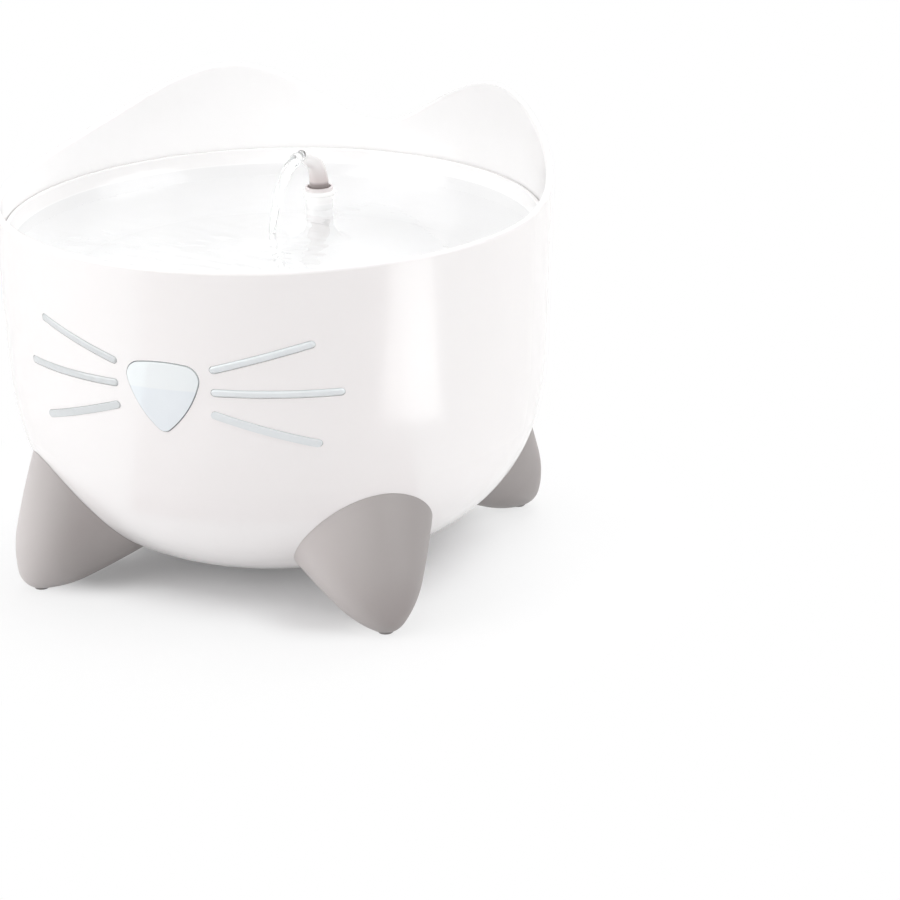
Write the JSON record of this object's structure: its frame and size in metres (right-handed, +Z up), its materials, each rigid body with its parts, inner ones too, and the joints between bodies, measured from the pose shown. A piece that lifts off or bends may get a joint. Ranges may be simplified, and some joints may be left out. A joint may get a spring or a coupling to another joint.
{
  "type": "pet water fountain",
  "caption": "Round bowl-shaped pet drinking fountain on splayed feet, with an eared rim, a clear nose window and whisker bars, a lift-out drinking dish and a gooseneck spout.",
  "frame": {"origin": "on the floor, under the bowl's centre", "axes": "+Z up, -Y towards the nose window, +X to the right as seen from the rear"},
  "size_m": [0.2372, 0.2371, 0.1888],
  "materials": {
    "bowl_white": "gloss",
    "dish_white": "gloss",
    "clear_window": "clear gloss",
    "clear_bar": "clear gloss",
    "foot_grey": "matt",
    "spout_grey": "satin",
    "seal_rubber": "matt",
    "soft_grey": "matt",
    "lead_black": "satin",
    "socket_black": "satin",
    "nut_metal": "nickel plated",
    "inner_white": "satin",
    "cassette_plastic": "satin",
    "foam": "open foam",
    "carbon": "loose grain in a pad",
    "pump_plastic": "satin",
    "impeller_plastic": "satin",
    "magnet": "matt ferrite",
    "shaft_ceramic": "polished",
    "core_steel": "laminated",
    "coil_copper": "enamelled wire",
    "board_green": "solder mask"
  },
  "bodies": {
    "base": {"bowl_shell": "bowl_white", "nose_lens": "clear_window", "nose_gasket": "seal_rubber", "whisker_left_upper": "clear_bar", "whisker_left_middle": "clear_bar", "whisker_left_lower": "clear_bar", "whisker_right_upper": "clear_bar", "whisker_right_middle": "clear_bar", "whisker_right_lower": "clear_bar", "foot_front_left": "foot_grey", "foot_front_right": "foot_grey", "foot_rear_left": "foot_grey", "foot_rear_right": "foot_grey", "foot_pad_front_left": "seal_rubber", "foot_pad_front_right": "seal_rubber", "foot_pad_rear_left": "seal_rubber", "foot_pad_rear_right": "seal_rubber", "power_socket": "socket_black", "socket_seal": "seal_rubber", "socket_nut": "nut_metal", "socket_boot": "lead_black", "pump_lead": "lead_black", "filter_housing": "inner_white", "pump_body": "pump_plastic", "pump_rear_cover": "pump_plastic", "pump_cover": "pump_plastic", "cover_seal": "seal_rubber", "front_bush": "shaft_ceramic", "rear_bush": "shaft_ceramic", "impeller_shaft": "shaft_ceramic", "stator_core": "core_steel", "stator_coil": "coil_copper", "driver_board": "board_green", "lead_gland": "soft_grey", "riser_tube": "inner_white", "riser_sleeve": "soft_grey", "suction_cup_front_left": "soft_grey", "suction_cup_front_right": "soft_grey", "suction_cup_rear_left": "soft_grey", "suction_cup_rear_right": "soft_grey"},
    "dish": {"drinking_dish": "dish_white"},
    "collar": {"nozzle_ring": "dish_white"},
    "spout": {"spout_tube": "spout_grey", "spout_seal": "seal_rubber"},
    "lid": {"housing_lid": "inner_white"},
    "cassette": {"cassette_frame": "cassette_plastic", "filter_foam": "foam", "carbon_pad": "carbon", "cassette_cap": "cassette_plastic"},
    "rotor": {"rotor_magnet": "magnet", "impeller": "impeller_plastic"}
  },
  "joints": [
    {"name": "dish_lift", "type": "slide", "parent": "base", "child": "dish", "axis": [0, 0, 1], "range_m": [0, 0.085]},
    {"name": "spout_swivel", "type": "hinge", "parent": "dish", "child": "collar", "pos_m": [0, 0.049, 0.148], "axis": [0, 0, 1], "continuous": true},
    {"name": "spout_pull", "type": "slide", "parent": "collar", "child": "spout", "axis": [0, 0, 1], "range_m": [0, 0.04]},
    {"name": "lid_lift", "type": "slide", "parent": "base", "child": "lid", "axis": [0, 0, 1], "range_m": [0, 0.025]},
    {"name": "cassette_lift", "type": "slide", "parent": "lid", "child": "cassette", "axis": [0, 0, 1], "range_m": [0, 0.012]},
    {"name": "impeller_spin", "type": "hinge", "parent": "base", "child": "rotor", "pos_m": [0, 0.03, 0.0355], "axis": [0, 1, 0], "continuous": true}
  ]
}
